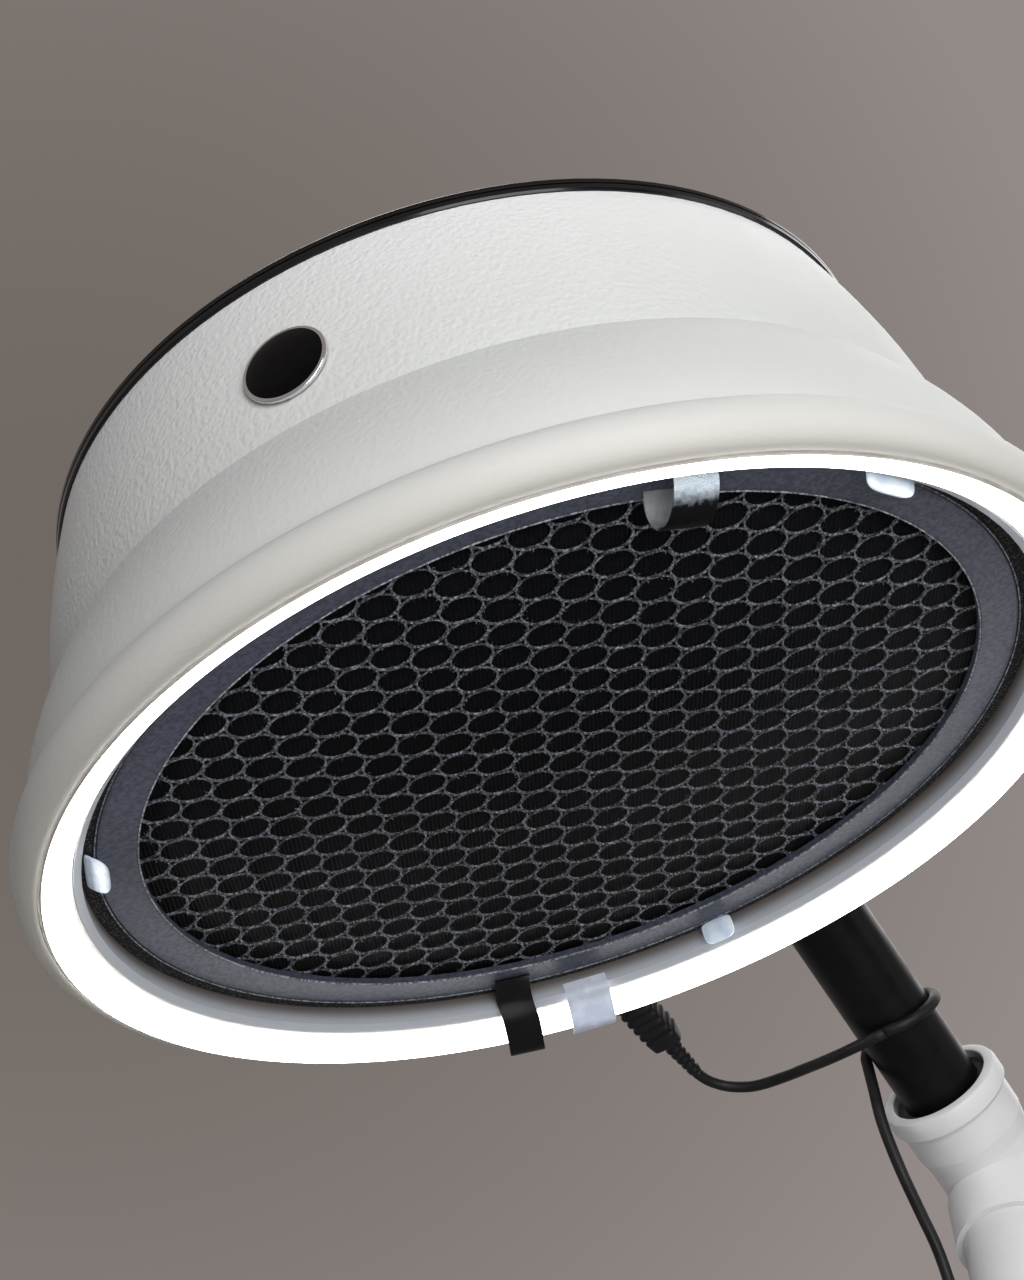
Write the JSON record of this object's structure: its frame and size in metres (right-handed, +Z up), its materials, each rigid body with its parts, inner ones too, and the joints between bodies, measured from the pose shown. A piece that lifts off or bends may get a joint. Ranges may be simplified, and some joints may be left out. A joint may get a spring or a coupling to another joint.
{
  "type": "salon fume extraction hood on a stand",
  "caption": "Drum-shaped salon hood on a castor stand: light ring round the mouth, honeycomb net over a filter cassette, fan and exhaust grille on top, tilting on a lifting column.",
  "frame": {"origin": "on the floor, on the column's axis", "axes": "+Z up; the hood reaches towards -Y; +X to the hood's right seen from behind the column"},
  "size_m": [0.5878, 0.8517, 1.6281],
  "materials": {
    "white_shell": "fine leather grain, satin",
    "lavender_wall": "smooth satin",
    "gloss_black": "high gloss",
    "grain_black_metal": "satin black powder coat",
    "soft_black": "matte, moulded",
    "rubber_black": "matte rubber",
    "steel": "zinc plated",
    "zinc_sheet": "rolled sheet",
    "dark_grey": "moulded, glass filled",
    "nylon_white": "smooth",
    "pvc_white": "smooth, low gloss",
    "white_metal": "white gloss paint",
    "light_silicone": "milky silicone, lit from inside",
    "clear_plastic": "milky translucent",
    "filter_blue": "fine dark blue-grey powder coat",
    "pale_net": "flocked polymer net",
    "black_cloth": "ribbed carbon cloth",
    "filter_paper": "pleated glass paper",
    "webbing_grey": "woven tape",
    "satin_black": "satin tape",
    "foam_grey": "speckled closed-cell foam",
    "cord_black": "smooth PVC sheath",
    "tread_grey": "soft tread"
  },
  "bodies": {
    "base": {"star_base": "grain_black_metal", "base_post": "grain_black_metal", "post_guide": "nylon_white", "lead_coil": "cord_black", "lead_plug": "cord_black", "plug_pins": "steel"},
    "mast": {"column_tube": "white_metal", "column_bush": "nylon_white", "clamp_collar": "soft_black", "elbow": "pvc_white", "elbow_bushing": "rubber_black", "pole": "grain_black_metal", "pole_head": "grain_black_metal", "lead_drop": "cord_black"},
    "column_clamp": {"clamp_knob": "soft_black"},
    "hood": {"hood_shell": "white_shell", "inner_liner": "lavender_wall", "top_cover": "gloss_black", "top_grille": "soft_black", "badge": "gloss_black", "fan_deck": "zinc_sheet", "fan_bracket": "zinc_sheet", "fan_motor": "dark_grey", "driver_box": "nylon_white", "power_inlet": "soft_black", "switch_body": "soft_black", "led_channel": "zinc_sheet", "led_strip": "light_silicone", "led_sleeve": "clear_plastic", "foam_seal": "foam_grey", "tilt_bracket": "grain_black_metal", "bracket_screws": "steel", "tilt_pin": "steel", "lead_connector": "cord_black", "lead_relief": "cord_black", "lead_run": "cord_black"},
    "tilt_clamp": {"tilt_knob": "soft_black"},
    "fan_rotor": {"impeller": "dark_grey"},
    "rocker": {"switch_rocker": "gloss_black"},
    "cassette": {"filter_frame": "filter_blue", "filter_net": "pale_net", "carbon_pad": "black_cloth", "hepa_pack": "filter_paper", "filter_clips": "clear_plastic", "pull_tab_front": "webbing_grey", "pull_tab_rear": "satin_black"},
    "castor_1": {"castor_fork_1": "soft_black"},
    "wheel_1": {"castor_wheel_1": "tread_grey"},
    "castor_2": {"castor_fork_2": "soft_black"},
    "wheel_2": {"castor_wheel_2": "tread_grey"},
    "castor_3": {"castor_fork_3": "soft_black"},
    "wheel_3": {"castor_wheel_3": "tread_grey"},
    "castor_4": {"castor_fork_4": "soft_black"},
    "wheel_4": {"castor_wheel_4": "tread_grey"},
    "castor_5": {"castor_fork_5": "soft_black"},
    "wheel_5": {"castor_wheel_5": "tread_grey"}
  },
  "joints": [
    {"name": "column_lift", "type": "slide", "parent": "base", "child": "mast", "axis": [0, 0, 1], "range_m": [-0.15, 0.2], "deforming": ["lead_drop"]},
    {"name": "column_clamp_turn", "type": "hinge", "parent": "mast", "child": "column_clamp", "pos_m": [0, 0.06, 0.783], "axis": [0, 1, 0], "range_deg": [0, 180]},
    {"name": "hood_tilt", "type": "hinge", "parent": "mast", "child": "hood", "pos_m": [0, -0.18058, 1.5494], "axis": [1, 0, 0], "range_deg": [-30, 8], "deforming": ["lead_run"]},
    {"name": "tilt_clamp_turn", "type": "hinge", "parent": "hood", "child": "tilt_clamp", "pos_m": [0, -0.18058, 1.5494], "axis": [1, 0, 0], "range_deg": [0, 180]},
    {"name": "fan_spin", "type": "hinge", "parent": "hood", "child": "fan_rotor", "pos_m": [0, -0.41107, 1.48751], "axis": [0, -0.4787, 0.878], "continuous": true},
    {"name": "switch_rock", "type": "hinge", "parent": "hood", "child": "rocker", "pos_m": [0.09977, -0.2767, 1.57458], "axis": [-0.848, 0.4653, 0.2537], "range_deg": [0, 18]},
    {"name": "filter_pull", "type": "slide", "parent": "hood", "child": "cassette", "axis": [0, 0.4787, -0.878], "range_m": [0, 0.16]},
    {"name": "castor_swivel_1", "type": "hinge", "parent": "base", "child": "castor_1", "pos_m": [0, -0.29, 0.06], "axis": [0, 0, 1], "continuous": true},
    {"name": "castor_roll_1", "type": "hinge", "parent": "castor_1", "child": "wheel_1", "pos_m": [-0.01472, -0.2815, 0.025], "axis": [0.5, 0.866, 0], "continuous": true},
    {"name": "castor_swivel_2", "type": "hinge", "parent": "base", "child": "castor_2", "pos_m": [0.27581, -0.08962, 0.06], "axis": [0, 0, 1], "continuous": true},
    {"name": "castor_roll_2", "type": "hinge", "parent": "castor_2", "child": "wheel_2", "pos_m": [0.26317, -0.10099, 0.025], "axis": [-0.6691, 0.7431, 0], "continuous": true},
    {"name": "castor_swivel_3", "type": "hinge", "parent": "base", "child": "castor_3", "pos_m": [0.17046, 0.23461, 0.06], "axis": [0, 0, 1], "continuous": true},
    {"name": "castor_roll_3", "type": "hinge", "parent": "castor_3", "child": "wheel_3", "pos_m": [0.17737, 0.21909, 0.025], "axis": [-0.9135, -0.4067, 0], "continuous": true},
    {"name": "castor_swivel_4", "type": "hinge", "parent": "base", "child": "castor_4", "pos_m": [-0.17046, 0.23461, 0.06], "axis": [0, 0, 1], "continuous": true},
    {"name": "castor_roll_4", "type": "hinge", "parent": "castor_4", "child": "wheel_4", "pos_m": [-0.15355, 0.23639, 0.025], "axis": [0.1045, -0.9945, 0], "continuous": true},
    {"name": "castor_swivel_5", "type": "hinge", "parent": "base", "child": "castor_5", "pos_m": [-0.27581, -0.08962, 0.06], "axis": [0, 0, 1], "continuous": true},
    {"name": "castor_roll_5", "type": "hinge", "parent": "castor_5", "child": "wheel_5", "pos_m": [-0.27227, -0.07299, 0.025], "axis": [0.9781, -0.2079, 0], "continuous": true}
  ]
}
